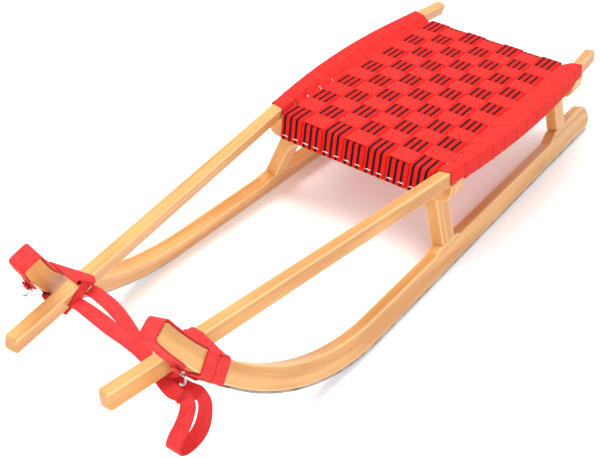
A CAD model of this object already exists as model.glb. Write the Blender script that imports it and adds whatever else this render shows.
"""Visual model of a horned wooden toboggan with a seat woven from webbing.

All lengths are metres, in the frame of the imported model: +Z up, the front towards -Y, and the
origin on the ground under the middle of the sled.
"""
import logging
import math
from dataclasses import dataclass
from enum import Enum

import bmesh
import bpy
from mathutils import Matrix, Vector


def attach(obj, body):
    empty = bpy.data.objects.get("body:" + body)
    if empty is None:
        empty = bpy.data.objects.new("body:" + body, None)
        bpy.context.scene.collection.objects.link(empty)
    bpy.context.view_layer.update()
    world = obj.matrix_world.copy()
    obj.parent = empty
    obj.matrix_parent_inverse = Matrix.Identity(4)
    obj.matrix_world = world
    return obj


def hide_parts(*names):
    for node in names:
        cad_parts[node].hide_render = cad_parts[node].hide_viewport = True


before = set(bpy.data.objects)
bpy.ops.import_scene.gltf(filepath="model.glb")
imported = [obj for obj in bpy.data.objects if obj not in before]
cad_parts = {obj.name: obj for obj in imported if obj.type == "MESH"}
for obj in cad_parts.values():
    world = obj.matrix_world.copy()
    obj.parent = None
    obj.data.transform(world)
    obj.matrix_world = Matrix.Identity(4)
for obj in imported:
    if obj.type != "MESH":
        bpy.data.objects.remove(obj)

log = logging.getLogger("toboggan")
SLED = "sled"
MM = 0.001
CORNER_SHARE = 0.45
GRAIN_STEP = 0.31
GRAIN_PLACES = 17


class Side(Enum):
    """The two sides of the sled; the value is the sign of X."""

    LEFT = -1
    RIGHT = 1

    @property
    def label(self) -> str:
        """The word that the side's nodes end with."""
        return self.name.lower()


class GrainSource(Enum):
    """Where a wooden piece's grain coordinates come from."""

    CARRIED = "grain"
    UPRIGHT = "upright"


# ---- finishes -----------------------------------------------------------------------------------


class NodeSketch:
    """Lays out the nodes of one material round a Principled shader."""

    def __init__(self, name: str) -> None:
        """Starts an empty material.

        Args:
            name: The material's name.
        """
        self.material = bpy.data.materials.new(name)
        self.material.use_nodes = True
        self.tree = self.material.node_tree
        self.tree.nodes.clear()
        output = self.tree.nodes.new("ShaderNodeOutputMaterial")
        self.surface = self.tree.nodes.new("ShaderNodeBsdfPrincipled")
        self.tree.links.new(self.surface.outputs[0], output.inputs[0])

    def add(self, kind: str, **settings: object) -> bpy.types.Node:
        """Adds a node.

        Args:
            kind: The node's type name.
            **settings: Properties to set on it.

        Returns:
            The new node.
        """
        node = self.tree.nodes.new(kind)
        for key, value in settings.items():
            setattr(node, key, value)
        return node

    def feed(self, socket: bpy.types.NodeSocket, value: object) -> None:
        """Links a socket to another, or sets its plain value.

        Args:
            socket: The input socket.
            value: An output socket, a number or a tuple.
        """
        if isinstance(value, bpy.types.NodeSocket):
            self.tree.links.new(value, socket)
        else:
            socket.default_value = value

    def fill(self, node: bpy.types.Node, **values: object) -> None:
        """Links or sets a node's inputs.

        Args:
            node: The node.
            **values: Input names with underscores for spaces, and their values.
        """
        for key, value in values.items():
            self.feed(node.inputs[key.replace("_", " ")], value)

    def set(self, **values: object) -> None:
        """Links or sets the Principled shader's inputs."""
        self.fill(self.surface, **values)

    def attribute(self, name: str) -> bpy.types.Node:
        """Adds an Attribute node that reads a mesh attribute of that name."""
        return self.add("ShaderNodeAttribute", attribute_name=name)

    def math(self, operation: str, a: object, b: object = 0.0,
             clamp: bool = False) -> bpy.types.NodeSocket:
        """Adds a Math node.

        Args:
            operation: The node's operation.
            a: First value or socket.
            b: Second value or socket.
            clamp: Whether the result is held between 0 and 1.

        Returns:
            The result's socket.
        """
        node = self.add("ShaderNodeMath", operation=operation, use_clamp=clamp)
        self.feed(node.inputs[0], a)
        self.feed(node.inputs[1], b)
        return node.outputs[0]

    def times(self, a: object, b: object) -> bpy.types.NodeSocket:
        """Multiplies two values."""
        return self.math("MULTIPLY", a, b)

    def blend(self, a: object, a_share: float, b: object, b_share: float,
              clamp: bool = False) -> bpy.types.NodeSocket:
        """Adds two values by their shares.

        Args:
            a: First value's socket.
            a_share: What it is multiplied by.
            b: Second value's socket.
            b_share: What that is multiplied by.
            clamp: Whether the result is held between 0 and 1.

        Returns:
            The sum's socket.
        """
        return self.math("ADD", self.times(a, a_share), self.times(b, b_share), clamp)

    def away(self, value: object, centre: float) -> bpy.types.NodeSocket:
        """Gives a value's distance from a centre, either way."""
        return self.math("ABSOLUTE", self.math("SUBTRACT", value, centre))

    def stretch(self, vector: object, scale: tuple[float, float, float],
                turn: tuple[float, float, float] = (0.0, 0.0, 0.0)) -> bpy.types.NodeSocket:
        """Scales and turns coordinates.

        Args:
            vector: The coordinates' socket.
            scale: Scale on each axis.
            turn: Rotation on each axis, in radians.

        Returns:
            The changed coordinates.
        """
        node = self.add("ShaderNodeMapping")
        self.fill(node, Vector=vector, Scale=scale, Rotation=turn)
        return node.outputs[0]

    def noise(self, vector: object, scale: float, detail: float = 3.0, roughness: float = 0.5,
              distortion: float = 0.0) -> bpy.types.NodeSocket:
        """Adds a Noise texture.

        Args:
            vector: The coordinates' socket.
            scale: The texture's scale.
            detail: Number of octaves.
            roughness: Strength of the finer octaves.
            distortion: Amount of distortion.

        Returns:
            The noise value's socket.
        """
        node = self.add("ShaderNodeTexNoise")
        self.fill(node, Vector=vector, Scale=scale, Detail=detail, Roughness=roughness,
                  Distortion=distortion)
        return node.outputs["Fac"]

    def band(self, value: object, low: float, high: float) -> bpy.types.NodeSocket:
        """Maps low..high to 0..1, held at both ends and smoothed.

        Args:
            value: The value's socket.
            low: Value that becomes 0.
            high: Value that becomes 1.

        Returns:
            The mapped value's socket.
        """
        node = self.add("ShaderNodeMapRange", interpolation_type="SMOOTHSTEP")
        self.fill(node, Value=value, From_Min=low, From_Max=high)
        return node.outputs[0]

    def mix(self, factor: object, a: object, b: object) -> bpy.types.NodeSocket:
        """Mixes two colours.

        Args:
            factor: Share of the second colour.
            a: First colour or socket.
            b: Second colour or socket.

        Returns:
            The mixed colour's socket.
        """
        node = self.add("ShaderNodeMix", data_type="RGBA")
        self.fill(node, Factor=factor, A=rgba(a), B=rgba(b))
        return node.outputs["Result"]

    def bump(self, height: object, strength: float, distance: float) -> None:
        """Joins a height to the shader's normal.

        Args:
            height: The height's socket.
            strength: The bump's strength.
            distance: Height in metres that a value of 1 stands for.
        """
        node = self.add("ShaderNodeBump")
        self.fill(node, Strength=strength, Distance=distance, Height=height)
        self.set(Normal=node.outputs[0])


def rgba(colour: object) -> object:
    """Gives a plain colour its alpha, and passes a socket on as it is."""
    return (*colour, 1.0) if isinstance(colour, tuple) and len(colour) == 3 else colour


class Finish:
    """Base of all finishes: makes its material once and keeps it."""

    made: dict[str, bpy.types.Material] = {}

    def material(self) -> bpy.types.Material:
        """Gives the finish's material, and makes it on the first call.

        Returns:
            The material.
        """
        if self.name not in Finish.made:
            sketch = NodeSketch(self.name)
            self.draw(sketch)
            Finish.made[self.name] = sketch.material
        return Finish.made[self.name]

    def draw(self, sketch: NodeSketch) -> None:
        """Draws the finish's nodes on the sketch."""
        raise NotImplementedError


@dataclass(frozen=True)
class BeechFinish(Finish):
    """Lacquered beech: long soft grain, short dark flecks and paler rounded edges."""

    name: str
    pale: tuple[float, float, float] = (0.76, 0.395, 0.125)
    honey: tuple[float, float, float] = (0.56, 0.235, 0.052)
    fleck: tuple[float, float, float] = (0.34, 0.130, 0.036)
    edge: tuple[float, float, float] = (0.92, 0.64, 0.34)
    source: GrainSource = GrainSource.CARRIED
    lacquer: float = 0.18
    streak_grid: tuple[float, float, float] = (2.2, 60.0, 60.0)
    cloud_grid: tuple[float, float, float] = (5.0, 16.0, 16.0)
    line_grid: tuple[float, float, float] = (7.0, 420.0, 420.0)
    speck_grid: tuple[float, float, float] = (170.0, 1500.0, 1500.0)
    line_share: float = 0.22
    speck_share: float = 0.35
    edge_share: float = 0.45
    roughness: float = 0.33
    streak_roughness: float = 0.14
    pore_depth: float = 0.2 * MM

    def draw(self, sketch: NodeSketch) -> None:
        """Draws streaks, growth lines, flecks, edge wear and pores.

        Args:
            sketch: The material being drawn.
        """
        if self.source is GrainSource.CARRIED:
            grain = sketch.attribute("grain").outputs["Vector"]
        else:
            place = sketch.add("ShaderNodeTexCoord").outputs["Object"]
            grain = sketch.stretch(place, (1.0, 1.0, 1.0), (0.0, math.radians(90), 0.0))
        streaks = sketch.noise(sketch.stretch(grain, self.streak_grid), 1.0, 4.0, 0.55, 0.35)
        clouds = sketch.noise(sketch.stretch(grain, self.cloud_grid), 1.0, 2.0, 0.5, 0.6)
        lines = sketch.noise(sketch.stretch(grain, self.line_grid), 1.0, 3.0, 0.6, 0.15)
        specks = sketch.noise(sketch.stretch(grain, self.speck_grid), 1.0, 2.0, 0.5, 0.0)
        tone = sketch.blend(streaks, 0.62, clouds, 0.38)
        colour = sketch.mix(sketch.band(tone, 0.36, 0.66), self.pale, self.honey)
        line = sketch.times(sketch.band(lines, 0.50, 0.72), self.line_share)
        colour = sketch.mix(line, colour, self.fleck)
        speck = sketch.times(sketch.band(specks, 0.62, 0.74), self.speck_share)
        colour = sketch.mix(speck, colour, self.fleck)
        worn = sketch.times(sketch.attribute("rounded").outputs["Fac"], self.edge_share)
        colour = sketch.mix(worn, colour, self.edge)
        height = sketch.blend(lines, 0.6, specks, 0.4)
        rough = sketch.math("ADD", sketch.times(streaks, self.streak_roughness), self.roughness)
        sketch.set(Base_Color=colour, Roughness=rough, Coat_Weight=self.lacquer, Coat_Roughness=0.28,
                   Specular_IOR_Level=0.45)
        sketch.bump(height, 0.25, self.pore_depth)


@dataclass(frozen=True)
class WebbingFinish(Finish):
    """Woven webbing. Its UV map runs 0..1 across the strap and in metres along it."""

    name: str
    yarn: tuple[float, float, float]
    shade: tuple[float, float, float]
    width: float
    yarn_width: float = 1.3 * MM
    selvedge: float = 1.6 * MM
    rib: float = 1.5 * MM
    rib_depth: float = 0.35
    stripe: tuple[float, float, float] = (0.009, 0.005, 0.007)
    stripes: tuple[float, ...] = ()
    stripe_half: float = 0.062
    stripe_edge: tuple[float, float] = (0.8, 1.15)
    ragged: float = 0.02
    sheen: float = 0.06
    sheen_tint: tuple[float, float, float, float] = (1.0, 0.35, 0.3, 1.0)
    roughness: float = 0.78
    mottle_scale: float = 90.0
    mottle_share: float = 0.25
    fuzz_scale: float = 2600.0
    selvedge_share: float = 0.75
    yarn_rise: float = 1.6
    weave_range: tuple[float, float] = (0.3, 6.8)
    weave_depth: float = 0.3 * MM

    def draw(self, sketch: NodeSketch) -> None:
        """Draws ribs, lengthwise yarns, mottled dye and the stripes, if there are any.

        Args:
            sketch: The material being drawn.
        """
        place = sketch.add("ShaderNodeUVMap", uv_map="webbing").outputs["UV"]
        split = sketch.add("ShaderNodeSeparateXYZ")
        sketch.feed(split.inputs[0], place)
        across, along = split.outputs[0], split.outputs[1]
        yarns = round(self.width / self.yarn_width)
        warp = sketch.math("SINE", sketch.times(across, yarns * math.tau))
        weft = sketch.math("SINE", sketch.times(along, math.tau / self.rib))
        raised = [sketch.math("ADD", wave, self.yarn_rise) for wave in (warp, weft)]
        weave = sketch.band(sketch.times(*raised), *self.weave_range)
        metric = sketch.stretch(place, (self.width, 1.0, 1.0))
        mottle = sketch.noise(metric, self.mottle_scale, 3.0, 0.6)
        fuzz = sketch.noise(metric, self.fuzz_scale, 2.0, 0.6)
        depth = sketch.math("SUBTRACT", 1.0, sketch.times(weave, 0.8))
        tone = sketch.blend(depth, self.rib_depth, sketch.band(mottle, 0.35, 0.7), self.mottle_share,
                            clamp=True)
        colour = sketch.mix(tone, self.yarn, self.shade)
        edge = sketch.band(sketch.away(across, 0.5), 0.5 - self.selvedge / self.width, 0.5)
        colour = sketch.mix(sketch.times(edge, self.selvedge_share), colour, self.shade)
        if self.stripes:
            colour = sketch.mix(self.stripe_mask(sketch, across, fuzz), colour, self.stripe)
        height = sketch.blend(weave, 0.8, fuzz, 0.2)
        sketch.set(Base_Color=colour, Roughness=self.roughness, Sheen_Weight=self.sheen,
                   Sheen_Roughness=0.45, Sheen_Tint=self.sheen_tint, Specular_IOR_Level=0.12)
        sketch.bump(height, 0.45, self.weave_depth)

    def stripe_mask(self, sketch: NodeSketch, across: object, fuzz: object) -> bpy.types.NodeSocket:
        """Builds the mask of the dark stripes, with slightly ragged edges.

        Args:
            sketch: The material being drawn.
            across: Place across the strap, 0 to 1.
            fuzz: Fine noise that roughens the edges.

        Returns:
            The mask's socket.
        """
        mask: object = 0.0
        stray = sketch.times(sketch.math("SUBTRACT", fuzz, 0.5), self.ragged)
        ragged = sketch.math("ADD", across, stray)
        inner, outer = (self.stripe_half * share for share in self.stripe_edge)
        for centre in self.stripes:
            past = sketch.band(sketch.away(ragged, centre), inner, outer)
            mask = sketch.math("ADD", mask, sketch.math("SUBTRACT", 1.0, past), clamp=True)
        return mask


@dataclass(frozen=True)
class MetalFinish(Finish):
    """Plain or plated steel with fine scratches and a little tarnish."""

    name: str
    colour: tuple[float, float, float]
    tarnish: tuple[float, float, float]
    roughness: float = 0.3
    scratches: tuple[float, float, float] = (900.0, 40.0, 900.0)

    def draw(self, sketch: NodeSketch) -> None:
        """Draws scratches along the piece and uneven tarnish.

        Args:
            sketch: The material being drawn.
        """
        place = sketch.add("ShaderNodeTexCoord").outputs["Object"]
        marks = sketch.noise(sketch.stretch(place, self.scratches), 1.0, 4.0, 0.6)
        patches = sketch.noise(place, 45.0, 4.0, 0.6)
        colour = sketch.mix(sketch.band(patches, 0.40, 0.68), self.colour, self.tarnish)
        rough = sketch.math("ADD", sketch.times(marks, 0.25), self.roughness - 0.1)
        sketch.set(Base_Color=colour, Metallic=1.0, Roughness=rough)
        sketch.bump(marks, 0.15, 0.0001)


@dataclass(frozen=True)
class ThreadFinish(Finish):
    """Twisted sewing thread."""

    name: str
    colour: tuple[float, float, float]
    shade: tuple[float, float, float]

    def draw(self, sketch: NodeSketch) -> None:
        """Draws the thread's diagonal twist.

        Args:
            sketch: The material being drawn.
        """
        place = sketch.add("ShaderNodeTexCoord").outputs["Object"]
        twist = sketch.stretch(place, (2200.0, 2200.0, 2200.0), (0.0, 0.6, 0.6))
        wave = sketch.add("ShaderNodeTexWave", wave_type="BANDS")
        sketch.fill(wave, Vector=twist, Scale=0.4, Distortion=1.0)
        colour = sketch.mix(wave.outputs["Fac"], self.shade, self.colour)
        sketch.set(Base_Color=colour, Roughness=0.6, Sheen_Weight=0.3)
        sketch.bump(wave.outputs["Fac"], 0.4, 0.0001)


@dataclass(frozen=True)
class FloorFinish(Finish):
    """Plain pale floor."""

    name: str = "pale_floor"
    colour: tuple[float, float, float] = (0.93, 0.925, 0.92)
    glow: float = 0.16

    def draw(self, sketch: NodeSketch) -> None:
        """Draws a matt, barely mottled surface.

        Args:
            sketch: The material being drawn.
        """
        place = sketch.add("ShaderNodeTexCoord").outputs["Object"]
        mottle = sketch.noise(place, 3.0, 2.0, 0.5)
        darker = tuple(0.985 * part for part in self.colour)
        sketch.set(Base_Color=sketch.mix(mottle, self.colour, darker), Roughness=0.85,
                   Specular_IOR_Level=0.2, Emission_Color=(1.0, 0.97, 0.96, 1.0),
                   Emission_Strength=self.glow)


BEECH = BeechFinish("lacquered_beech")
DOWEL_BEECH = BeechFinish("dowel_beech", source=GrainSource.UPRIGHT, lacquer=0.0)
SHOE_STEEL = MetalFinish("rolled_steel", (0.36, 0.36, 0.37), (0.16, 0.14, 0.13), 0.42)
ZINC = MetalFinish("zinc_plate", (0.70, 0.71, 0.73), (0.48, 0.48, 0.50), 0.32)
HOOK_PLATE = MetalFinish("bright_plate", (0.62, 0.63, 0.66), (0.40, 0.41, 0.44), 0.18,
                         (300.0, 300.0, 300.0))
CROSS_STRAP_W = 38.0 * MM
LONG_STRAP_W = 37.4 * MM
PLAIN_WEBBING = WebbingFinish("plain_seat_webbing", (0.83, 0.034, 0.029), (0.52, 0.012, 0.010),
                              CROSS_STRAP_W)
STRIPED_WEBBING = WebbingFinish("striped_seat_webbing", (0.83, 0.010, 0.007), (0.50, 0.004, 0.003),
                                LONG_STRAP_W, stripes=(0.165, 0.455, 0.745))
PULL_WEBBING = WebbingFinish("crimson_webbing", (0.92, 0.072, 0.070), (0.58, 0.022, 0.026), 21 * MM,
                             rib=2.3 * MM, rib_depth=0.7, sheen=0.15)
WHITE_THREAD = ThreadFinish("white_thread", (0.93, 0.92, 0.90), (0.66, 0.63, 0.61))
RED_THREAD = ThreadFinish("red_thread", (0.62, 0.03, 0.04), (0.28, 0.01, 0.015))


# ---- sizes and curves shared by the pieces --------------------------------------------------------


@dataclass(frozen=True)
class Plan:
    """The sled's main sizes and curves, as in the frame."""

    track_half: float = 180 * MM
    lean: float = math.radians(19)
    runner_w: float = 21.5 * MM
    runner_h: float = 35 * MM
    front_pad: float = 6 * MM
    rear_pad: float = 12 * MM
    pad_margin: float = 8 * MM
    pad_slope: float = 14 * MM
    bend_r: float = 435 * MM
    bend_angle: float = math.radians(62)
    tip_h: float = 25 * MM
    bend_y: float = -201 * MM
    runner_rear: float = 625 * MM
    top_r: float = 28 * MM
    low_r: float = 14 * MM
    edge_z: float = 7.970 * MM
    rail_w: float = 18.5 * MM
    rail_h: float = 22.4 * MM
    rail_tilt: float = math.radians(9.5)
    rail_z: float = 149.6 * MM
    rail_tip_half: float = 78 * MM
    rail_front: float = -625 * MM
    rail_rear: float = 583 * MM
    rail_toe: float = math.radians(7.4)
    rail_tail: float = math.radians(3.6)
    bow_start: float = 48 * MM
    bow_r: float = 1900 * MM
    front_bar_y: float = 3 * MM
    rear_bar_y: float = 468 * MM
    bar_d: float = 42 * MM
    leg_d: float = 37 * MM

    def leg_y(self, bar_y: float) -> float:
        """Front face of the legs under the crossbar whose front face is at bar_y."""
        return bar_y + self.bar_d - self.leg_d

    @property
    def pad_ys(self) -> tuple[float, ...]:
        """Places where the runner's top starts or stops sloping round the pads under the legs.

        Returns:
            The places along the sled, from the front.
        """
        front, rear = self.leg_y(self.front_bar_y), self.leg_y(self.rear_bar_y)
        past = front + self.leg_d + self.pad_margin
        return (front - self.pad_margin - self.pad_slope, front - self.pad_margin, past,
                past + self.pad_slope, rear - self.pad_margin - 2 * self.pad_slope,
                rear - self.pad_margin)

    @property
    def back_r(self) -> float:
        """Radius of the circle along the bend's upper side.

        Returns:
            The radius.
        """
        y = (self.bend_r - self.tip_h) * math.sin(self.bend_angle)
        z = self.bend_r - (self.bend_r - self.tip_h) * math.cos(self.bend_angle) - self.runner_h
        return (y * y + z * z) / (2 * z)

    def bend_thickness(self, angle: float) -> float:
        """Thickness of the runner at an angle of its bend.

        Args:
            angle: The angle, from the bend's start.

        Returns:
            The thickness.
        """
        drop = self.bend_r - self.runner_h - self.back_r
        part = drop * math.cos(angle)
        return self.bend_r - part - math.sqrt(part * part - drop * drop + self.back_r ** 2)

    def runner_top(self, y: float) -> float:
        """Height of the straight part's top.

        Args:
            y: Place along the sled.

        Returns:
            The height in the runner's own plane.
        """
        ys = (self.bend_y, *self.pad_ys, self.runner_rear - self.top_r)
        pads = (0, 0, self.front_pad, self.front_pad, 0, 0, self.rear_pad, self.rear_pad)
        knots = [(place, self.runner_h + pad) for place, pad in zip(ys, pads)]
        if y >= knots[-1][0]:
            rise = y - knots[-1][0]
            return knots[-1][1] - self.top_r + math.sqrt(max(0.0, self.top_r ** 2 - rise * rise))
        for (y0, h0), (y1, h1) in zip(knots, knots[1:]):
            if y <= y1:
                return h0 + (h1 - h0) * (y - y0) / (y1 - y0)
        return knots[-1][1]

    def runner_bottom(self, y: float) -> float:
        """Height of the straight part's underside, which curls up at the rear end."""
        rise = y - (self.runner_rear - self.low_r)
        return self.low_r - math.sqrt(max(0.0, self.low_r ** 2 - rise * rise)) if rise > 0 else 0.0

    def runner_point(self, side: Side, across: float, y: float, height: float) -> Vector:
        """A point of a runner's leaning frame.

        Args:
            side: Which runner.
            across: Distance from its outer face, negative inwards.
            y: Place along the sled.
            height: Height in the runner's own plane.

        Returns:
            The point in the sled's frame.
        """
        x = self.track_half + across * math.cos(self.lean) - height * math.sin(self.lean)
        z = self.edge_z + across * math.sin(self.lean) + height * math.cos(self.lean)
        return Vector((side.value * x, y, z))

    def runner_turn(self, side: Side, vector: tuple[float, float, float]) -> Vector:
        """Turns a direction of a runner's leaning frame into the sled's frame.

        Args:
            side: Which runner.
            vector: The direction in the runner's frame.

        Returns:
            The direction in the sled's frame.
        """
        x, y, z = vector
        return Vector((side.value * (x * math.cos(self.lean) - z * math.sin(self.lean)), y,
                       x * math.sin(self.lean) + z * math.cos(self.lean)))

    def bend_point(self, side: Side, across: float, angle: float, off: float) -> Vector:
        """A point near the bend.

        Args:
            side: Which runner.
            across: Distance from its outer face, negative inwards.
            angle: Angle from the bend's start.
            off: Distance out from the runner's front face.

        Returns:
            The point in the sled's frame.
        """
        r = self.bend_r + off
        return self.runner_point(side, across, self.bend_y - r * math.sin(angle),
                                 self.bend_r - r * math.cos(angle))

    def horn_ahead(self, side: Side, angle: float) -> Vector:
        """Direction along the bend towards the horn's tip, at an angle of the bend."""
        return self.runner_turn(side, (0, -math.cos(angle), math.sin(angle)))

    def horn_out(self, side: Side, angle: float) -> Vector:
        """Direction out from the bend's front face, at an angle of the bend."""
        return self.runner_turn(side, (0, -math.sin(angle), -math.cos(angle)))

    @property
    def bow_centre(self) -> tuple[float, float]:
        """Centre of the rails' side bow.

        Returns:
            Its distance out from the middle, and its place along the sled.
        """
        start = self.rail_tip_half + (self.bow_start - self.rail_front) * math.tan(self.rail_toe)
        return (start - self.bow_r * math.cos(self.rail_toe),
                self.bow_start + self.bow_r * math.sin(self.rail_toe))

    def rail_u(self, y: float) -> float:
        """Outer edge of a rail in its own plane.

        Args:
            y: Place along the sled.

        Returns:
            Its distance from the middle of the sled.
        """
        u, v = self.bow_centre
        end = v + self.bow_r * math.sin(self.rail_tail)
        if y < self.bow_start:
            return self.rail_tip_half + (y - self.rail_front) * math.tan(self.rail_toe)
        if y > end:
            return u + self.bow_r * math.cos(self.rail_tail) - (y - end) * math.tan(self.rail_tail)
        return u + math.sqrt(self.bow_r ** 2 - (y - v) ** 2)

    def rail_slope(self, y: float) -> float:
        """Angle between a rail and the sled's length, positive where it toes in at the front."""
        _, v = self.bow_centre
        return max(-self.rail_tail, min(self.rail_toe, math.asin((v - y) / self.bow_r)))

    def rail_point(self, side: Side, u: float, y: float, v: float) -> Vector:
        """A point of a rail's tilted frame.

        Args:
            side: Which rail.
            u: Distance from the middle of the sled, in the plane of the rail tops.
            y: Place along the sled.
            v: Height above that plane.

        Returns:
            The point in the sled's frame.
        """
        x = u * math.cos(self.rail_tilt) - v * math.sin(self.rail_tilt)
        z = self.rail_z + u * math.sin(self.rail_tilt) + v * math.cos(self.rail_tilt)
        return Vector((side.value * x, y, z))

    def rail_along(self, side: Side, y: float) -> Vector:
        """Direction of a rail towards the rear.

        Args:
            side: Which rail.
            y: Place along the sled.

        Returns:
            The direction in the sled's frame.
        """
        slope = self.rail_slope(y)
        out = math.sin(slope)
        return Vector((side.value * out * math.cos(self.rail_tilt), math.cos(slope),
                       out * math.sin(self.rail_tilt)))


PLAN = Plan()


# ---- sweeping and finishing pieces ----------------------------------------------------------------


@dataclass
class Station:
    """One cross-section of a sweep: where it stands and how it is scaled."""

    place: Matrix
    along: float
    wide: float = 1.0
    tall: float = 1.0
    lift: float = 0.0

    def matrix(self) -> Matrix:
        """The section's whole transform."""
        size = Matrix.Diagonal((self.wide, self.tall, 1, 1))
        return self.place @ Matrix.Translation((0, self.lift, 0)) @ size


def placed(origin: Vector, wide: Vector, along: Vector) -> Matrix:
    """Makes a section's frame: X across, Y through the thickness and Z along.

    Args:
        origin: The section's middle.
        wide: Rough direction of its width.
        along: Direction of the sweep.

    Returns:
        The frame as a matrix.
    """
    z = along.normalized()
    y = z.cross(wide).normalized()
    x = y.cross(z)
    return Matrix.Translation(origin) @ Matrix((x, y, z)).transposed().to_4x4()


@dataclass
class Sweep:
    """A closed solid made by extruding a rounded rectangle from station to station."""

    width: float
    height: float
    corner: float
    segments: int = 2

    def section(self, bm: bmesh.types.BMesh) -> list[bmesh.types.BMEdge]:
        """Draws the rounded section.

        Args:
            bm: The mesh to draw it in.

        Returns:
            The section's edges.
        """
        bmesh.ops.create_grid(bm, x_segments=1, y_segments=1, size=0.5)
        bmesh.ops.scale(bm, vec=(self.width, self.height, 1.0), verts=bm.verts)
        bmesh.ops.bevel(bm, geom=bm.verts[:], offset=self.corner, segments=self.segments, profile=0.5,
                        affect="VERTICES", material=-1)
        bmesh.ops.delete(bm, geom=bm.faces[:], context="FACES_ONLY")
        return bm.edges[:]

    def build(self, stations: list[Station]) -> bmesh.types.BMesh:
        """Sweeps the section through the stations and closes both ends.

        Args:
            stations: The cross-sections, in order.

        Returns:
            A mesh that carries grain coordinates and a webbing UV map.
        """
        bm = bmesh.new()
        edges = self.section(bm)
        grain = bm.verts.layers.float_vector.new("grain")
        flat = bm.verts.layers.float_vector.new("flat")
        for vert in bm.verts:
            vert[flat] = vert.co
        before = stations[0]
        bmesh.ops.transform(bm, matrix=before.matrix(), verts=bm.verts)
        self.mark(bm.verts[:], before, grain, flat)
        for station in stations[1:]:
            made = bmesh.ops.extrude_edge_only(bm, edges=edges)["geom"]
            ring = [item for item in made if isinstance(item, bmesh.types.BMVert)]
            fresh = set(ring)
            edges = [item for item in made if isinstance(item, bmesh.types.BMEdge)
                     and item.verts[0] in fresh and item.verts[1] in fresh]
            bmesh.ops.transform(bm, matrix=station.matrix() @ before.matrix().inverted(), verts=ring)
            self.mark(ring, station, grain, flat)
            before = station
        bmesh.ops.holes_fill(bm, edges=[edge for edge in bm.edges if edge.is_boundary], sides=0)
        bmesh.ops.recalc_face_normals(bm, faces=bm.faces)
        self.unwrap(bm, grain, flat)
        return bm

    def mark(self, ring: list[bmesh.types.BMVert], station: Station, grain: object, flat: object) -> None:
        """Writes the grain coordinates of one ring: along, across and through the section.

        Args:
            ring: The ring's vertices.
            station: Where the ring stands.
            grain: Layer that takes the coordinates.
            flat: Layer with the vertices' places in the flat section.
        """
        for vert in ring:
            vert[grain] = (station.along, vert[flat][0], vert[flat][1] * station.tall + station.lift)

    def unwrap(self, bm: bmesh.types.BMesh, grain: object, flat: object) -> None:
        """Writes the webbing UV map: 0..1 across, metres along.

        Args:
            bm: The swept mesh.
            grain: Layer with the coordinates along the sweep.
            flat: Layer with the places in the flat section.
        """
        uv = bm.loops.layers.uv.new("webbing")
        for face in bm.faces:
            for loop in face.loops:
                loop[uv].uv = (loop.vert[flat][0] / self.width + 0.5, loop.vert[grain][0])


def in_scene(name: str, data: bpy.types.ID) -> bpy.types.Object:
    """Puts a new object in the scene.

    Args:
        name: The object's name.
        data: Its mesh, camera or light.

    Returns:
        The object.
    """
    made = bpy.data.objects.new(name, data)
    bpy.context.scene.collection.objects.link(made)
    return made


def finished(bm: bmesh.types.BMesh, name: str, finish: Finish, slot: str, *nodes: str,
             body: str = SLED, weighted: bool = True) -> bpy.types.Object:
    """Turns a mesh into a piece that rides on a body.

    Args:
        bm: The piece's mesh, which is freed.
        name: The piece's name.
        finish: Its finish.
        slot: The record's material slot.
        *nodes: CAD nodes that it stands for.
        body: The body it rides on.
        weighted: Whether big faces keep their own normals.

    Returns:
        The new object.
    """
    mesh = bpy.data.meshes.new(name)
    for face in bm.faces:
        face.smooth = True
    bm.to_mesh(mesh)
    bm.free()
    mesh.materials.append(finish.material())
    piece = in_scene(name, mesh)
    if weighted:
        piece.modifiers.new("keep_flat_faces", "WEIGHTED_NORMAL")
    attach(piece, body)
    if nodes:
        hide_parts(*nodes)
    log.info("%s: %d faces, stands for %s", name, len(mesh.polygons), ", ".join(nodes) or "nothing")
    return piece


def dress(node: str, finish: Finish) -> None:
    """Gives a CAD node that stays its finish.

    Args:
        node: The node's name.
        finish: The finish.
    """
    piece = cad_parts[node]
    piece.data.materials.clear()
    piece.data.materials.append(finish.material())
    log.info("%s: kept, with %s", node, finish.name)


def join(parts: list[bmesh.types.BMesh]) -> bmesh.types.BMesh:
    """Puts several meshes into one.

    Args:
        parts: The meshes, which are freed.

    Returns:
        The joined mesh.
    """
    whole = bmesh.new()
    for part in parts:
        carrier = bpy.data.meshes.new("carrier")
        part.to_mesh(carrier)
        part.free()
        whole.from_mesh(carrier)
        bpy.data.meshes.remove(carrier)
    return whole


def round_corners(points: list[Vector], radii: list[float], steps: int = 4) -> list[Vector]:
    """Rounds a path's corners with short curves.

    No curve takes up more than CORNER_SHARE of a straight beside it.

    Args:
        points: The path.
        radii: How far from each corner its curve starts.
        steps: Pieces in each curve.

    Returns:
        The rounded path.
    """
    path = [points[0]]
    for before, corner, after, radius in zip(points, points[1:], points[2:], radii[1:]):
        reach = min(radius, *(CORNER_SHARE * (end - corner).length for end in (before, after)))
        start = corner + (before - corner).normalized() * reach
        end = corner + (after - corner).normalized() * reach
        for step in range(steps + 1):
            t = step / steps
            path.append(start * (1 - t) ** 2 + corner * 2 * t * (1 - t) + end * t * t)
    path.append(points[-1])
    return path


def lengths(path: list[Vector]) -> list[float]:
    """Distance along a path at each of its points.

    Args:
        path: The path.

    Returns:
        A distance for each point, from 0.
    """
    total = [0.0]
    for a, b in zip(path, path[1:]):
        total.append(total[-1] + (b - a).length)
    return total


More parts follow.
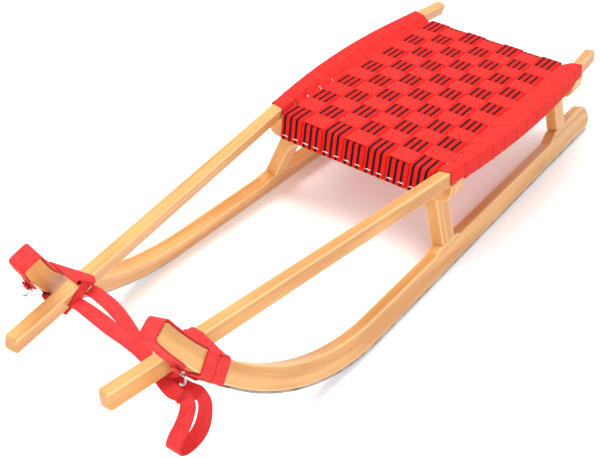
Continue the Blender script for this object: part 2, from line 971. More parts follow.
def ribbon_stations(path: list[Vector], wides: list[Vector], start: float = 0.0) -> list[Station]:
    """Stations of a ribbon that follows a path.

    Args:
        path: The ribbon's middle line.
        wides: Direction of its width at each point.
        start: Length that the pattern starts at.

    Returns:
        The stations.
    """
    last = len(path) - 1
    marks = lengths(path)
    return [Station(placed(p, wides[i], path[min(i + 1, last)] - path[max(i - 1, 0)]), start + marks[i])
            for i, p in enumerate(path)]


def capped(stations: list[Station], radius: float, width: float, height: float) -> list[Station]:
    """Adds shrinking stations at both ends, which round the end edges.

    Args:
        stations: The sweep's stations.
        radius: Radius of the rounding.
        width: Width of the section.
        height: Height of the section.

    Returns:
        The longer list of stations.
    """
    def step(end: Station, inward: float, angle: float) -> Station:
        """Makes one station of the rounding.

        Args:
            end: The station at that end of the sweep.
            inward: 1 at the start, -1 at the end.
            angle: Angle of the rounding's quarter circle.

        Returns:
            The station.
        """
        back = radius * (1 - math.sin(angle)) * inward
        narrow = radius * (1 - math.cos(angle))
        return Station(end.place @ Matrix.Translation((0, 0, back)), end.along + back,
                       end.wide - 2 * narrow / width, end.tall - 2 * narrow / height, end.lift)

    angles = [math.radians(a) for a in (0, 30, 60, 90)]
    first = [step(stations[0], 1.0, a) for a in reversed(angles)]
    last = [step(stations[-1], -1.0, a) for a in angles]
    return first + stations[1:-1] + last


# ---- wooden members -------------------------------------------------------------------------------


@dataclass
class Runner:
    """One runner with its horn, its steel strip and the strip's screws."""

    side: Side
    rounding: float = 2.8 * MM
    tip_r: float = 7 * MM
    knee: float = 2 * MM
    rear_steps: tuple[float, ...] = (0, 0.4, 1.5, 3.2, 5.5, 8.5, 11.5, 15, 19, 23.5, 28)
    tail_y: float = 560 * MM
    middle_ys: tuple[float, ...] = (0.36, 0.28, 0.20, 0.12)
    nose_ys: tuple[float, ...] = (-0.08, -0.14)
    bend_degrees: range = range(0, 61, 2)
    tip_shares: tuple[float, ...] = (1.0, 0.7, 0.45, 0.25, 0.1, 0.0)
    cap_r: float = 1.6 * MM
    grain_shift: float = 1.7

    def stations(self) -> list[Station]:
        """Cross-sections from the rear end to the horn's tip.

        Returns:
            The sections, in order.
        """
        plan, rows = PLAN, []
        rear_leg = plan.leg_y(plan.rear_bar_y)
        knees = [y + step for y in reversed(plan.pad_ys) for step in (self.knee, -self.knee)]
        ys = [plan.runner_rear - d * MM for d in self.rear_steps]
        ys += [self.tail_y, rear_leg + plan.leg_d, rear_leg]
        ys += [*knees[:4], *self.middle_ys, *knees[4:], *self.nose_ys]
        up = plan.runner_turn(self.side, (0, 0, 1))
        for y in ys:
            low, top = plan.runner_bottom(y), plan.runner_top(y)
            rows.append(self.station(plan.runner_point(self.side, -plan.runner_w / 2, y, 0.0), up,
                                     Vector((0, -1, 0)), plan.bend_y - y, low, top))
        to_tip = plan.bend_r * plan.bend_angle
        arcs = [plan.bend_r * math.radians(degree) for degree in self.bend_degrees]
        arcs += [to_tip - self.tip_r * share for share in self.tip_shares]
        for arc in arcs:
            angle = arc / plan.bend_r
            into = max(0.0, arc - to_tip + self.tip_r)
            cut = self.tip_r - math.sqrt(self.tip_r ** 2 - into ** 2)
            rows.append(self.station(plan.bend_point(self.side, -plan.runner_w / 2, angle, 0.0),
                                     -plan.horn_out(self.side, angle), plan.horn_ahead(self.side, angle),
                                     arc, cut, plan.bend_thickness(angle) - cut))
        return rows

    def station(self, base: Vector, up: Vector, ahead: Vector, along: float, low: float,
                top: float) -> Station:
        """One cross-section.

        Args:
            base: Middle of the underside.
            up: Direction through the runner's height.
            ahead: Direction towards the horn.
            along: Distance along the grain.
            low: Height of the section's lower edge above the base.
            top: Height of its upper edge.

        Returns:
            The station.
        """
        return Station(placed(base, up.cross(ahead), ahead), along + self.grain_shift * self.side.value,
                       tall=(top - low) / PLAN.runner_h, lift=(top + low) / 2)

    def build(self) -> None:
        """Builds the runner, and dresses its steel strip and screws."""
        stations = capped(self.stations(), self.cap_r, PLAN.runner_w, PLAN.runner_h)
        bm = Sweep(PLAN.runner_w, PLAN.runner_h, self.rounding, segments=3).build(stations)
        mark_rounded(bm, PLAN.runner_w, PLAN.runner_h, self.rounding)
        finished(bm, f"runner_wood_{self.side.label}", BEECH, "beech", f"runner_{self.side.label}")
        dress(f"shoe_{self.side.label}", SHOE_STEEL)
        dress(f"shoe_screws_{self.side.label}", ZINC)


def mark_rounded(bm: bmesh.types.BMesh, width: float, height: float, rounding: float) -> None:
    """Marks the faces of a sweep's rounded corners, which the lacquer leaves paler.

    Args:
        bm: The swept mesh.
        width: Width of its section.
        height: Height of its section.
        rounding: Radius of its corners.
    """
    layer = bm.faces.layers.float.new("rounded")
    flat = bm.verts.layers.float_vector["flat"]
    for face in bm.faces:
        middle = sum((vert[flat] for vert in face.verts), Vector()) / len(face.verts)
        corner = abs(middle[0]) > width / 2 - rounding and abs(middle[1]) > height / 2 - rounding
        face[layer] = 1.0 if corner else 0.0


@dataclass
class Rail:
    """One side rail of the seat, a straight-bowed-straight bar with chamfered ends."""

    side: Side
    rounding: float = 2.2 * MM
    cap_r: float = 2.6 * MM
    steps: int = 44
    grain_shift: float = 3.1

    def build(self) -> None:
        """Builds the rail."""
        plan = PLAN
        tilt = plan.rail_tilt
        up = Vector((-self.side.value * math.sin(tilt), 0, math.cos(tilt)))
        stations = []
        for i in range(self.steps + 1):
            y = plan.rail_rear + (plan.rail_front - plan.rail_rear) * i / self.steps
            slope = plan.rail_slope(y)
            u = plan.rail_u(y) - plan.rail_w / 2 / math.cos(slope)
            origin = plan.rail_point(self.side, u, y, -plan.rail_h / 2)
            ahead = -plan.rail_along(self.side, y)
            along = plan.rail_rear - y + self.grain_shift * self.side.value
            stations.append(Station(placed(origin, up.cross(ahead), ahead), along))
        stations = capped(stations, self.cap_r, plan.rail_w, plan.rail_h)
        bm = Sweep(plan.rail_w, plan.rail_h, self.rounding, segments=2).build(stations)
        mark_rounded(bm, plan.rail_w, plan.rail_h, self.rounding)
        finished(bm, f"rail_wood_{self.side.label}", BEECH, "beech", f"rail_{self.side.label}")


@dataclass
class Bridge:
    """A crossbar on its two legs, with the dowels and screws that hold it."""

    name: str
    bar_y: float
    rounding: float = 2.4 * MM
    weld: float = 0.002 * MM
    coplanar: float = math.radians(0.4)
    sharp: float = math.radians(25)
    near: float = 0.05 * MM

    def build(self) -> None:
        """Builds the crossbar and the legs, and dresses the fasteners."""
        plan = PLAN
        leg_y = plan.leg_y(self.bar_y)
        self.rounded(f"{self.name}_crossbar", self.bar_y, self.bar_y + plan.bar_d, Vector((1, 0, 0)))
        for side in Side:
            upright = plan.runner_turn(side, (0, 0, 1))
            self.rounded(f"{self.name}_leg_{side.label}", leg_y, leg_y + plan.leg_d, upright)
        dress(f"{self.name}_leg_dowels", DOWEL_BEECH)
        dress(f"{self.name}_rail_screws", ZINC)

    def rounded(self, node: str, low: float, high: float, grain_axis: Vector) -> None:
        """Copies a node's solid, rounds the edges of its outline and gives it grain.

        Args:
            node: The CAD node.
            low: Place of its front face along the sled.
            high: Place of its rear face.
            grain_axis: Direction of its grain.
        """
        bm = bmesh.new()
        bm.from_mesh(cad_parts[node].data)
        bmesh.ops.remove_doubles(bm, verts=bm.verts, dist=self.weld)
        bmesh.ops.dissolve_limit(bm, angle_limit=self.coplanar, verts=bm.verts, edges=bm.edges)
        layer = bm.faces.layers.float.new("rounded")
        grain = bm.verts.layers.float_vector.new("grain")
        edges = [edge for edge in bm.edges if self.on_outline(edge, low, high)]
        made = bmesh.ops.bevel(bm, geom=edges, offset=self.rounding, offset_type="OFFSET", segments=3,
                               profile=0.5, affect="EDGES", clamp_overlap=False, material=-1)
        for face in made["faces"]:
            face[layer] = 1.0
        shift = grain_start(node)
        for vert in bm.verts:
            along = vert.co.dot(grain_axis)
            rest = vert.co - along * grain_axis
            vert[grain] = (along + shift, rest.y, rest.x + rest.z)
        finished(bm, f"{node}_wood", BEECH, "beech", node)

    def on_outline(self, edge: bmesh.types.BMEdge, low: float, high: float) -> bool:
        """Tells whether a sharp edge bounds the front or rear face, or runs from one to the other.

        Args:
            edge: The edge.
            low: Place of the front face along the sled.
            high: Place of the rear face.

        Returns:
            True if the edge is rounded.
        """
        if len(edge.link_faces) != 2 or edge.calc_face_angle(0.0) < self.sharp:
            return False
        a, b = (vert.co.y for vert in edge.verts)
        on_face = any(abs(a - plane) < self.near and abs(b - plane) < self.near for plane in (low, high))
        return on_face or abs(abs(a - b) - (high - low)) < self.near


def grain_start(name: str) -> float:
    """Where a piece's grain starts: one of several places, the same each time for a name."""
    return GRAIN_STEP * (sum(i * ord(letter) for i, letter in enumerate(name, 1)) % GRAIN_PLACES)


def add_stitch(bm: bmesh.types.BMesh, size: tuple[float, float, float], turn: Matrix,
               place: Vector) -> None:
    """Adds one long rounded stitch to a mesh.

    Args:
        bm: The mesh.
        size: Its length, width and height.
        turn: How it is turned.
        place: Its middle.
    """
    made = bmesh.ops.create_uvsphere(bm, u_segments=8, v_segments=6, radius=0.5)["verts"]
    bmesh.ops.scale(bm, vec=size, verts=made)
    bmesh.ops.rotate(bm, cent=(0, 0, 0), matrix=turn, verts=made)
    bmesh.ops.translate(bm, vec=place, verts=made)


# ---- seat -----------------------------------------------------------------------------------------


@dataclass
class Seat:
    """The woven seat: plain straps across, striped straps along, stitching and tacks."""

    rows: int = 13
    columns: int = 7
    pitch: float = 38.2 * MM
    front: float = 0.5 * MM
    offset: float = -3 * MM
    middle_z: float = 165 * MM
    level: float = 0.92 * MM
    cell_half: float = 17.4 * MM
    edge_run: float = 3.6 * MM
    thickness: float = 1.3 * MM
    lay: float = 0.35 * MM
    under: float = 14 * MM
    flap_bottom: float = 122.4 * MM
    stitch_z: float = 130 * MM
    stitch_size: tuple[float, float, float] = (11.5 * MM, 1.3 * MM, 1.5 * MM)
    weave_r: float = 2.2 * MM
    rail_r: float = 2.6 * MM
    flap_r: float = 5.5 * MM
    selvedge_r: float = 0.5 * MM
    flap_gap: float = 0.8 * MM
    rear_flap_gap: float = 1.05 * MM
    rail_gap: float = 0.8 * MM
    short_end: float = 4.5 * MM
    twist_run: float = 8 * MM
    hem: float = 11 * MM
    hem_steps: tuple[float, float] = (0.8 * MM, 0.6 * MM)
    hem_tall: float = 1.5
    row_start: float = 0.4
    column_start: float = 0.3

    def row_y(self, row: int) -> float:
        """Middle of a cross strap."""
        return self.front + (row - 0.5) * self.pitch

    def column_x(self, column: int) -> float:
        """Middle of a long strap."""
        return self.offset + (column - (self.columns + 1) / 2) * self.pitch

    def level_z(self, over: bool) -> float:
        """Middle height of a strap where it lies over or under another."""
        return self.middle_z + (self.level if over else -self.level)

    @property
    def rear_flap_y(self) -> float:
        """Middle of the rear flaps' thickness."""
        return PLAN.rear_bar_y + PLAN.bar_d + self.rear_flap_gap

    def rail_turns(self, side: Side, y: float, shared: bool) -> list[Vector]:
        """Corners of a cross strap round one rail, from its end to the rail's inner top edge.

        Args:
            side: Which rail.
            y: Middle of the strap.
            shared: Whether a crossbar under the rail leaves no room for the strap's end.

        Returns:
            The corners.
        """
        plan = PLAN
        off = self.lay + self.thickness / 2
        outer = plan.rail_u(y) + off
        inner = plan.rail_u(y) - plan.rail_w / math.cos(plan.rail_slope(y)) - self.rail_gap
        low = -plan.rail_h - off
        end = [(outer, low + self.short_end)] if shared else [(outer - self.under, low), (outer, low)]
        return [plan.rail_point(side, u, y, v) for u, v in end + [(outer, off), (inner, off)]]

    def cross_strap(self, row: int) -> bmesh.types.BMesh:
        """Builds one plain strap, woven across and wrapped round both rails.

        Args:
            row: Its number from the front, from 1.

        Returns:
            The strap's mesh.
        """
        y = self.row_y(row)
        shared = row in (1, self.rows)
        left, right = (self.rail_turns(side, y, shared) for side in Side)
        outside = self.cell_half + self.edge_run
        weave = [Vector((self.column_x(1) - outside, y, self.middle_z))]
        for column in range(1, self.columns + 1):
            for x in (self.column_x(column) - self.cell_half, self.column_x(column) + self.cell_half):
                weave.append(Vector((x, y, self.level_z((row + column) % 2 == 1))))
        weave.append(Vector((self.column_x(self.columns) + outside, y, self.middle_z)))
        wrap = [self.rail_r] * len(left)
        path = round_corners(left + weave + right[::-1], wrap + [self.weave_r] * len(weave) + wrap)
        reach = abs(self.column_x(1)) + self.cell_half
        wides = [self.width_direction(p, y, reach) for p in path]
        stations = ribbon_stations(path, wides, self.row_start * row)
        return Sweep(CROSS_STRAP_W, self.thickness, self.selvedge_r).build(stations)

    def width_direction(self, point: Vector, y: float, reach: float) -> Vector:
        """Direction of a cross strap's width: along the rail where it lies on one.

        Args:
            point: The point on the strap.
            y: Middle of the strap.
            reach: Distance from the middle of the sled where the weave ends.

        Returns:
            The direction.
        """
        side = Side.RIGHT if point.x > 0 else Side.LEFT
        share = min(1.0, max(0.0, (abs(point.x) - reach) / self.twist_run + 1.0))
        return Vector((0, 1, 0)).lerp(PLAN.rail_along(side, y), share)

    def long_strap(self, column: int) -> bmesh.types.BMesh:
        """Builds one striped strap with its hanging front and rear flaps.

        Args:
            column: Its number from the left, from 1.

        Returns:
            The strap's mesh.
        """
        x = self.column_x(column)
        path = [Vector((x, self.front - self.flap_gap, z))
                for z in (self.flap_bottom, self.level_z((1 + column) % 2 == 0))]
        for row in range(1, self.rows + 1):
            z = self.level_z((row + column) % 2 == 0)
            first, last = self.row_y(row) - self.cell_half, self.row_y(row) + self.cell_half
            path += [Vector((x, y, z)) for y in ((last,) if row == 1 else (first, last))]
        path += [Vector((x, self.rear_flap_y, z))
                 for z in (self.level_z((self.rows + column) % 2 == 0), self.flap_bottom)]
        radii = [0.0, self.flap_r] + [self.weave_r] * (len(path) - 4) + [self.flap_r, 0.0]
        path = self.hemmed(round_corners(path, radii))
        stations = ribbon_stations(path, [Vector((1, 0, 0))] * len(path), self.column_start * column)
        for station in stations[:3] + stations[-3:]:
            station.tall = self.hem_tall
        return Sweep(LONG_STRAP_W, self.thickness, self.selvedge_r).build(stations)

    def hemmed(self, path: list[Vector]) -> list[Vector]:
        """Adds points near both ends of a strap's path, where the hems are folded.

        Args:
            path: The path, whose ends hang straight down.

        Returns:
            The longer path.
        """
        edge, step = self.hem_steps
        rises = [Vector((0, 0, z)) for z in (self.hem, self.hem + edge, self.hem + edge + step)]
        head = [path[0] + rise for rise in rises]
        tail = [path[-1] + rise for rise in reversed(rises)]
        return path[:1] + head + path[1:-1] + tail + path[-1:]

    def stitches(self, y: float, outward: float) -> bmesh.types.BMesh:
        """Builds a row of running stitches along the flaps.

        Args:
            y: Outer face of the flaps.
            outward: -1 at the front, 1 at the rear.

        Returns:
            The stitches' mesh.
        """
        bm = bmesh.new()
        for i in range(2 * self.columns):
            x = self.column_x(1) - self.pitch / 4 + i * self.pitch / 2
            turn = Matrix.Rotation(math.radians(((i * 7) % 5) - 2), 3, "Y")
            add_stitch(bm, self.stitch_size, turn, Vector((x, y + outward * self.lay, self.stitch_z)))
        return bm

    def build(self) -> None:
        """Builds all straps and the stitching, and dresses the tacks."""
        for row in range(1, self.rows + 1):
            finished(self.cross_strap(row), f"seat_cross_strap_{row:02d}", PLAIN_WEBBING,
                     "seat_webbing_plain", f"cross_strap_{row:02d}")
        for column in range(1, self.columns + 1):
            finished(self.long_strap(column), f"seat_long_strap_{column}", STRIPED_WEBBING,
                     "seat_webbing_striped", f"long_strap_{column}")
        face = self.thickness * self.hem_tall / 2
        for end, y, outward in (("front", self.front - self.flap_gap, -1), ("rear", self.rear_flap_y, 1)):
            finished(self.stitches(y + outward * face, outward), f"{end}_flap_stitches", WHITE_THREAD,
                     "seat_webbing_striped", weighted=False)
        for side in Side:
            dress(f"strap_tacks_{side.label}", ZINC)


# ---- horn straps, bindings and hooks ----------------------------------------------------------------


@dataclass
class HornLoop:
    """Webbing over a horn's tip, with a narrowed eye that holds the hook."""

    side: Side
    width: float = 25 * MM
    thickness: float = 1.8 * MM
    lay: float = 0.35 * MM
    front_angle: float = math.radians(53.8)
    eye_out: float = 6.5 * MM
    eye_r: float = 2.5 * MM
    tip_r: float = 9.5 * MM
    slack: float = 1.2 * MM
    fold_r: float = 2 * MM
    selvedge_r: float = 0.6 * MM
    front_degrees: tuple[float, ...] = (54.6, 56, 57.5, 59, 60.3)
    back_degrees: tuple[float, ...] = (60.3, 59, 57, 55, 53.2, 51.6)
    eye_degrees: tuple[float, ...] = (60, 20, -20, -60, -100, -140, -180)
    eye_tail: tuple[tuple[float, float], ...] = ((12 * MM, -0.4 * MM), (6 * MM, 0.6 * MM))
    eye_share: float = 0.30
    widen_from: float = 4 * MM
    widen_run: float = 9 * MM
    sewn_degrees: tuple[float, ...] = (54.9, 55.15, 55.4)
    sewn_size: tuple[float, float, float] = (6.4 * MM, 0.7 * MM, 0.7 * MM)
    sewn_out: float = 0.75 * MM

    def build(self) -> None:
        """Builds the loop and its eye as one folded length, and its sewing."""
        plan = PLAN
        middle = -plan.runner_w / 2
        off = self.lay + self.thickness / 2
        tangent = plan.horn_ahead(self.side, plan.bend_angle)
        front = [plan.bend_point(self.side, middle, math.radians(d), off) for d in self.front_degrees]
        over = [plan.bend_point(self.side, middle, plan.bend_angle, o) + tangent * (off + self.slack)
                for o in (off, -plan.tip_h - off)]
        back = [plan.bend_point(self.side, middle, a, -plan.bend_thickness(a) - off)
                for a in map(math.radians, self.back_degrees)]
        eye = self.eye_path(middle)
        radii = [self.fold_r] * len(eye + front) + [self.tip_r] * 2 + [self.fold_r] * len(back)
        path = round_corners(eye + front + over + back, radii, steps=5)
        wide = plan.runner_turn(self.side, (1, 0, 0))
        stations = ribbon_stations(path, [wide] * len(path))
        widen_at = lengths(eye)[-1] - self.widen_from
        for station in stations:
            share = min(1.0, max(0.0, (station.along - widen_at) / self.widen_run))
            station.wide = self.eye_share + (1 - self.eye_share) * share * share * (3 - 2 * share)
        bm = Sweep(self.width, self.thickness, self.selvedge_r).build(stations)
        finished(bm, f"horn_webbing_{self.side.label}", PULL_WEBBING, "pull_webbing",
                 f"horn_loop_{self.side.label}")
        self.sew(wide)

    def eye_path(self, middle: float) -> list[Vector]:
        """Path of the folded end round the hook's bar.

        Args:
            middle: Middle of the runner's thickness, in its own frame.

        Returns:
            The path, from the sewn end to the loop's front.
        """
        plan = PLAN
        centre = plan.bend_point(self.side, middle, self.front_angle, self.eye_out)
        ahead = plan.horn_ahead(self.side, self.front_angle)
        out = plan.horn_out(self.side, self.front_angle)
        turn = [(self.eye_r * math.sin(a), self.eye_r * math.cos(a))
                for a in map(math.radians, self.eye_degrees)]
        return [centre + ahead * on + out * off for on, off in (*self.eye_tail, *turn)]

    def sew(self, wide: Vector) -> None:
        """Builds the stitch bars that close the eye's fold.

        Args:
            wide: Direction of the webbing's width.
        """
        plan = PLAN
        bm = bmesh.new()
        turn = wide.to_track_quat("X", "Z").to_matrix()
        for angle in map(math.radians, self.sewn_degrees):
            place = plan.bend_point(self.side, -plan.runner_w / 2, angle, self.eye_out + self.sewn_out)
            add_stitch(bm, self.sewn_size, turn, place)
        finished(bm, f"eye_stitches_{self.side.label}", RED_THREAD, "pull_webbing", weighted=False)


@dataclass
class Binding:
    """Webbing wound round a horn and the rail beside it, in one turn or in two side by side."""

    side: Side
    turns: int
    turn_width: float
    angle: float = math.radians(48)
    rail_shift: float = 12 * MM
    rail_y: float = -520 * MM
    twist_run: float = 8 * MM
    thickness: float = 1.9 * MM
    lay: float = 0.35 * MM
    lap: float = 1.938 * MM
    over_turn: float = 1.995 * MM
    turn_gap: float = 0.5 * MM
    rail_spread: float = 0.3
    corner_r: float = 3.2 * MM
    corner_steps: int = 4
    selvedge_r: float = 0.6 * MM
    on_horn: float = 0.001 * MM
    turn_start: float = 0.17

    def corners(self, shift: float, rail_shift: float) -> list[Vector]:
        """Corners of horn and rail on the way of one turn.

        Args:
            shift: Place of the turn on the horn, forward from the binding's middle.
            rail_shift: The same where it crosses the rail.

        Returns:
            The corners, in the sled's frame.
        """
        plan = PLAN
        ahead, out = plan.horn_ahead(self.side, self.angle), plan.horn_out(self.side, self.angle)
        base = plan.bend_point(self.side, 0.0, self.angle, 0.0) + ahead * shift
        inward = plan.runner_turn(self.side, (-1, 0, 0)) * plan.runner_w
        deep = -out * plan.bend_thickness(self.angle)
        found = [base, base + inward, base + deep, base + inward + deep]
        for u_off in (0.0, plan.rail_w / math.cos(plan.rail_toe)):
            for v in (0.0, -plan.rail_h):
                start = plan.rail_point(self.side, plan.rail_u(self.rail_y) - u_off, self.rail_y, v)
                along = plan.rail_along(self.side, self.rail_y)
                reach = (base - start).dot(ahead) + rail_shift - shift
                found.append(start + along * (reach / along.dot(ahead)))
        return found

    def turn_path(self, shift: float, rail_shift: float, layer: float) -> list[Vector]:
        """Closed path of one turn, hugging the corners' outer boundary.

        Args:
            shift: Place of the turn on the horn, forward from the binding's middle.
            rail_shift: The same where it crosses the rail.
            layer: How far out it lies on an earlier turn, where it crosses the rail.

        Returns:
            The path; its last stretch lies on its first.
        """
        plan = PLAN
        wide = plan.runner_turn(self.side, (1, 0, 0))
        ahead, out = plan.horn_ahead(self.side, self.angle), plan.horn_out(self.side, self.angle)
        points = self.corners(shift, rail_shift)
        base = points[0]
        places = {((p - base).dot(wide), (p - base).dot(out)): (p - base).dot(ahead) for p in points}
        hull = outer_ring(list(places))
        ring = [Vector(corner) for corner in grown(hull, self.lay + self.thickness / 2)]
        forward = [places[corner] for corner in hull]
        lifts = [layer if abs(on) > self.on_horn else 0.0 for on in forward] + [self.lap, self.lap]
        ring, forward = ring + ring[:2], forward + forward[:2]
        middle = sum(ring, Vector((0, 0))) / len(ring)
        path = []
        for corner, lift, on in zip(ring, lifts, forward):
            a, b = corner + (corner - middle).normalized() * lift
            path.append(base + wide * a + out * b + ahead * on)
        return path

    def widths(self, path: list[Vector]) -> list[Vector]:
        """Direction of the webbing's width: along the horn, and along the rail where it crosses that.

        Args:
            path: The path of one turn.

        Returns:
            A direction for each point.
        """
        plan = PLAN
        across = plan.runner_turn(self.side, (1, 0, 0))
        ahead = plan.horn_ahead(self.side, self.angle)
        along = -plan.rail_along(self.side, self.rail_y)
        base = plan.bend_point(self.side, -plan.runner_w, self.angle, 0.0)
        shares = [min(1.0, max(0.0, (base - p).dot(across) / self.twist_run)) for p in path]
        return [ahead.lerp(along, share) for share in shares]

    def build(self) -> None:
        """Builds the turns as one piece."""
        parts = []
        for i in range(self.turns):
            shift = (i - (self.turns - 1) / 2) * (self.turn_width + self.turn_gap)
            points = self.turn_path(shift, self.rail_shift + self.rail_spread * shift, i * self.over_turn)
            path = round_corners(points, [self.corner_r] * len(points), self.corner_steps)
            path = path[:-self.corner_steps]
            stations = ribbon_stations(path, self.widths(path), self.turn_start * i)
            parts.append(Sweep(self.turn_width, self.thickness, self.selvedge_r).build(stations))
        finished(join(parts), f"binding_webbing_{self.side.label}", PULL_WEBBING, "pull_webbing",
                 f"horn_binding_{self.side.label}")


Flat = tuple[float, float]


def outer_ring(points: list[Flat]) -> list[Flat]:
    """Convex boundary of flat points, in order.

    Args:
        points: The points.

    Returns:
        The boundary's corners, counter-clockwise.
    """
    ordered = sorted(points)

    def half(sequence: list[Flat]) -> list[Flat]:
        """Makes one half of the boundary.

        Args:
            sequence: The points in order of their first coordinate, either way.

        Returns:
            The corners of that half.
        """
        chain: list[Flat] = []
        for p in sequence:
            while len(chain) > 1 and double_area(chain[-2], chain[-1], p) <= 0:
                chain.pop()
            chain.append(p)
        return chain[:-1]

    return half(ordered) + half(ordered[::-1])


def double_area(a: Flat, b: Flat, c: Flat) -> float:
    """Twice the signed area of a flat triangle, positive when it runs counter-clockwise."""
    return (b[0] - a[0]) * (c[1] - a[1]) - (b[1] - a[1]) * (c[0] - a[0])


def grown(ring: list[Flat], by: float) -> list[Flat]:
    """Moves a counter-clockwise ring's sides outwards.

    Args:
        ring: The ring's corners.
        by: The distance.

    Returns:
        The corners of the larger ring.
    """
    result = []
    for i, corner in enumerate(ring):
        before, after = Vector(ring[i - 1]), Vector(ring[(i + 1) % len(ring)])
        here = Vector(corner)
        a, b = (here - before).normalized(), (after - here).normalized()
        normals = Vector((a.y, -a.x)), Vector((b.y, -b.x))
        total = normals[0] + normals[1]
        result.append(tuple(here + total * by / total.dot(normals[0])))
    return result


# ---- pull strap -----------------------------------------------------------------------------------


@dataclass
class PullStrap:
    """The flat pull strap: two strands from the left binding, and a loop hanging under the right horn.

    Each row of its route is a point of the middle line in millimetres and the direction of the
    width there. The points are those of the part's own strap.
    """

    width: float = 20 * MM
    thickness: float = 1.9 * MM
    selvedge_r: float = 0.6 * MM
    steps: int = 6
    route: tuple[tuple[float, float, float, float, float, float], ...] = (
        (-72.2, -524, 146, -0.13, 1, 0), (-62, -522.7, 144.6, -0.13, 1, 0), (-40, -524, 142.5, 0, 1, 0.1),
        (-12, -528, 141.5, 0, 1, 0.1), (20, -532, 140.5, 0, 1, -0.1), (46, -535, 136.2, 0, 1, -0.2),
        (68, -540, 131.6, 0, 1, 0), (90, -549, 130.6, 0, 1, 0), (110, -558, 135, 0.2, 1, 0),
        (121, -558, 136, 0.7, 0.7, 0), (127, -557, 128, 1, 0.2, 0), (128, -560, 115, 1, 0, 0),
        (127, -566, 100, 1, 0, 0), (125, -574, 86, 1, 0, 0), (123, -576, 72, 1, 0, 0),
        (121, -569, 60, 1, 0, 0), (121, -557, 53, 1, 0, 0), (123, -543, 55, 1, 0, 0),
        (126, -533, 65, 1, 0, 0), (128, -528, 80, 1, 0, 0), (128, -526, 98, 1, 0, 0),
        (126, -528, 113, 0.9, 0.3, 0), (118, -532, 121, 0.6, 0.8, 0), (103, -535, 124.5, 0, 1, 0),
        (82, -536, 125.6, 0, 1, 0), (58, -533, 128, 0, 1, -0.1), (34, -525, 132, 0, 1, -0.2),
        (6, -512, 136, 0, 1, -0.2), (-32, -499, 141, 0, 1, 0), (-64, -494.5, 144.6, -0.13, 1, 0),
        (-75.2, -496, 146, -0.13, 1, 0),
    )

    def curve(self, values: list[Vector]) -> list[Vector]:
        """A smooth curve through points.

        Args:
            values: The points.

        Returns:
            The curve's points.
        """
        last = len(values) - 1
        smooth = []
        for i in range(last):
            a, b, c, d = values[max(0, i - 1)], values[i], values[i + 1], values[min(last, i + 2)]
            for step in range(self.steps):
                t = step / self.steps
                smooth.append((2 * b + (c - a) * t + (2 * a - 5 * b + 4 * c - d) * t * t
                               + (3 * b - a - 3 * c + d) * t ** 3) / 2)
        return smooth + [values[last]]

    def build(self) -> None:
        path = self.curve([Vector(point[:3]) * MM for point in self.route])
        wides = self.curve([Vector(point[3:]) for point in self.route])
        bm = Sweep(self.width, self.thickness, self.selvedge_r).build(ribbon_stations(path, wides))
        piece = finished(bm, "pull_strap_webbing", PULL_WEBBING, "pull_webbing", "pull_strap")


# ---- studio ---------------------------------------------------------------------------------------


@dataclass(frozen=True)
class Softbox:
    """One square area light: where it hangs, what it faces, its side and its power in watts."""

    name: str
    place: tuple[float, float, float]
    aim: tuple[float, float, float]
    size: float
    power: float

    def build(self) -> None:
        """Makes the light."""
        data = bpy.data.lights.new(self.name, "AREA")
        data.shape = "SQUARE"
        data.size = self.size
        data.energy = self.power
        lamp = in_scene(self.name, data)
        lamp.location = self.place
        facing = Vector(self.aim) - Vector(self.place)
        lamp.rotation_euler = facing.to_track_quat("-Z", "Y").to_euler()
        log.info("light %s: %.0f W", self.name, self.power)


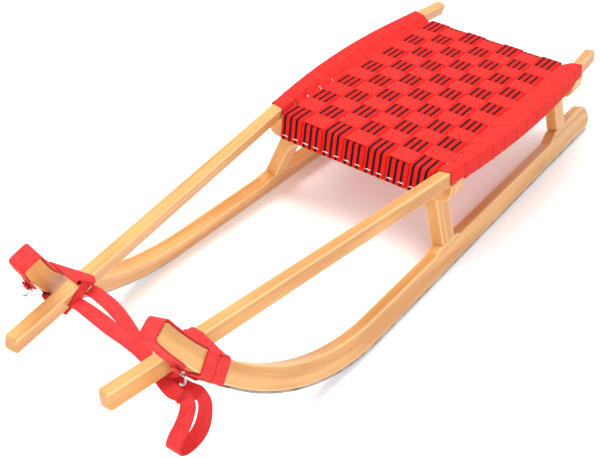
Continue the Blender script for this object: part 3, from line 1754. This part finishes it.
@dataclass
class Studio:
    """Camera, lights and floor."""

    eye: tuple[float, float, float] = (0.6112, -1.1747, 0.9101)
    azimuth: float = math.radians(30.61)
    elevation: float = math.radians(34.61)
    roll: float = math.radians(5.81)
    lens: float = 59.88
    sensor: float = 36.0
    nearest: float = 0.05
    floor_half: float = 6.0
    surroundings: float = 0.86

    def camera(self) -> None:
        """Makes the camera and puts it in the scene."""
        a, e = self.azimuth, self.elevation
        right = Vector((math.cos(a), math.sin(a), 0))
        up = Vector((-math.sin(a) * math.sin(e), math.cos(a) * math.sin(e), math.cos(e)))
        x = math.cos(self.roll) * right + math.sin(self.roll) * up
        y = -math.sin(self.roll) * right + math.cos(self.roll) * up
        data = bpy.data.cameras.new("camera")
        data.lens = self.lens
        data.sensor_width = self.sensor
        data.sensor_fit = "HORIZONTAL"
        data.clip_start = self.nearest
        camera = in_scene("camera", data)
        turn = Matrix((x, y, x.cross(y))).transposed().to_4x4()
        camera.matrix_world = Matrix.Translation(self.eye) @ turn
        bpy.context.scene.camera = camera
        log.info("camera: lens %.2f mm", self.lens)

    def floor(self) -> None:
        """Makes the pale floor."""
        bm = bmesh.new()
        bmesh.ops.create_grid(bm, x_segments=2, y_segments=2, size=self.floor_half)
        mesh = bpy.data.meshes.new("floor")
        bm.to_mesh(mesh)
        bm.free()
        mesh.materials.append(FloorFinish().material())
        in_scene("floor", mesh)
        log.info("floor: %d faces", len(mesh.polygons))

    def build_light(self) -> None:
        """Makes the white surroundings and the soft lights."""
        world = bpy.data.worlds.new("white_surroundings")
        world.use_nodes = True
        background = world.node_tree.nodes["Background"]
        background.inputs["Color"].default_value = (1.0, 1.0, 1.0, 1.0)
        background.inputs["Strength"].default_value = self.surroundings
        bpy.context.scene.world = world
        Softbox("top_softbox", (-0.6, -0.3, 2.2), aim=(0, 0, 0), size=1.6, power=42.0).build()
        Softbox("side_softbox", (1.6, -1.6, 1.5), aim=(0, -0.1, 0.1), size=1.2, power=14.0).build()
        bpy.context.scene.view_settings.view_transform = "Standard"


def main() -> None:
    """Builds the sled piece by piece, in the order it is made."""
    logging.basicConfig(level=logging.INFO, format="%(name)s: %(message)s")
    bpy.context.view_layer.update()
    studio = Studio()
    studio.camera()
    PullStrap().build()
    for side in Side:
        Runner(side).build()
        Rail(side).build()
    Bridge("front", PLAN.front_bar_y).build()
    Bridge("rear", PLAN.rear_bar_y).build()
    Seat().build()
    for side in Side:
        HornLoop(side).build()
        dress(f"hook_{side.label}", HOOK_PLATE)
    Binding(Side.RIGHT, turns=2, turn_width=21 * MM).build()
    Binding(Side.LEFT, turns=1, turn_width=25 * MM).build()
    studio.floor()
    studio.build_light()


if __name__ == "__main__":
    main()
